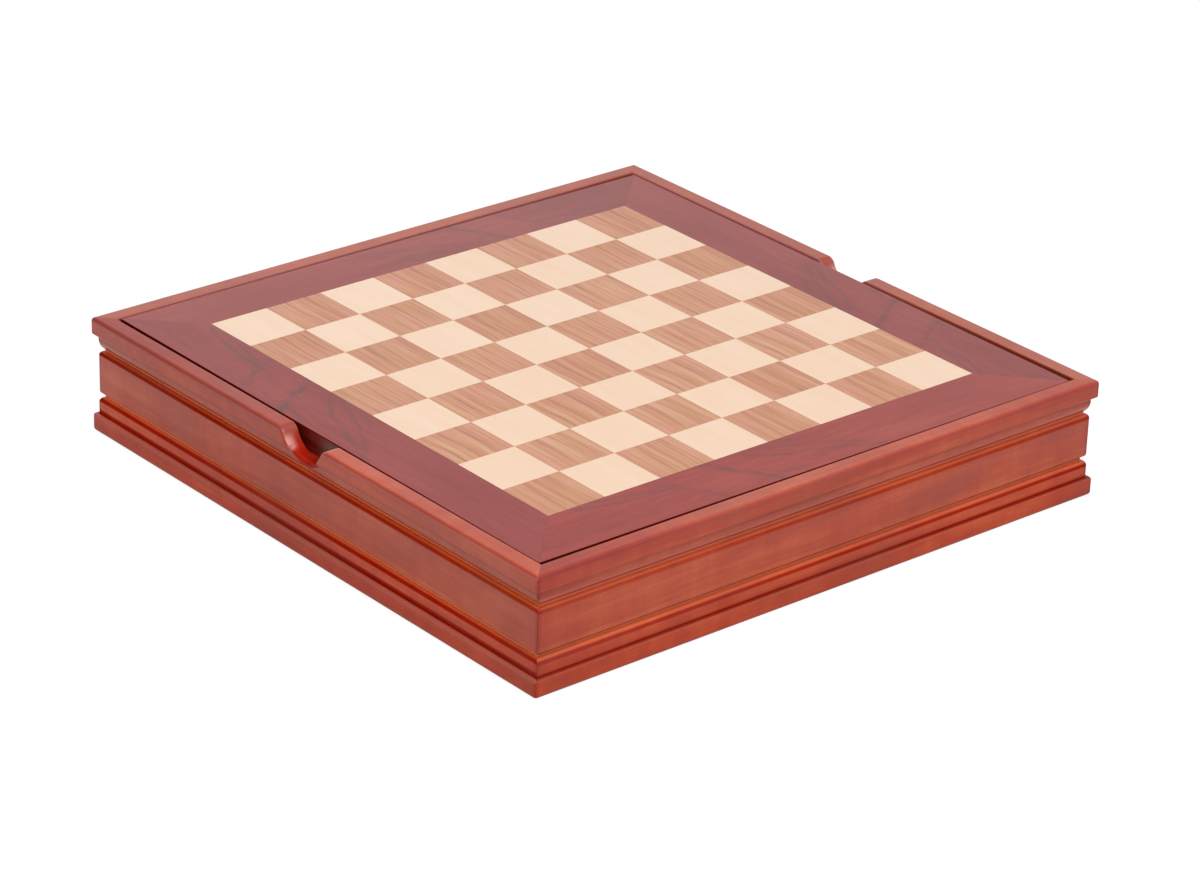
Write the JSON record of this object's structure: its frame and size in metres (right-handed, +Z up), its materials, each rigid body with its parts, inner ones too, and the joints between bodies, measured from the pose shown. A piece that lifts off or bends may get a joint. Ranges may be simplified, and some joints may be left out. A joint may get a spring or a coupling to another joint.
{
  "type": "chess box with lift-off board",
  "caption": "Square wooden storage case with moulded sides and a chequered playing board that drops into the rim as a lift-off lid, over a divided felt-lined inside.",
  "frame": {"origin": "middle of the base, on the surface the box stands on", "axes": "+Z up, +X from the rim with one finger notch to the rim with the other, +Y along the notched sides"},
  "size_m": [0.3714, 0.3714, 0.065],
  "materials": {
    "case_wood": "satin lacquered solid wood, reddish mahogany stain",
    "divider_wood": "satin lacquered solid wood, reddish mahogany stain",
    "border_veneer": "semi-gloss figured rosewood-coloured veneer",
    "light_veneer": "satin pale maple veneer",
    "dark_veneer": "satin mid-brown walnut veneer",
    "lipping_wood": "dark stained solid wood edge",
    "backing_veneer": "plain stained veneer",
    "plywood": "unfinished birch plywood",
    "green_felt": "wool felt"
  },
  "bodies": {
    "case": {"notched_wall_left": "case_wood", "notched_wall_right": "case_wood", "plain_wall_front": "case_wood", "plain_wall_rear": "case_wood", "mitre_splines": "plywood", "bottom_panel": "plywood", "underside_felt": "green_felt", "long_divider": "divider_wood", "cross_divider": "divider_wood", "bay_felt_front_left": "green_felt", "bay_felt_front_right": "green_felt", "bay_felt_rear_left": "green_felt", "bay_felt_rear_right": "green_felt"},
    "lid": {"board_core": "plywood", "lipping_left": "lipping_wood", "lipping_right": "lipping_wood", "lipping_front": "lipping_wood", "lipping_rear": "lipping_wood", "border_left": "border_veneer", "border_right": "border_veneer", "border_front": "border_veneer", "border_rear": "border_veneer", "light_squares": "light_veneer", "dark_squares": "dark_veneer", "backing_veneer": "backing_veneer"}
  },
  "joints": [
    {"name": "lid_lift", "type": "slide", "parent": "case", "child": "lid", "axis": [0, 0, 1], "range_m": [0, 0.16]}
  ]
}
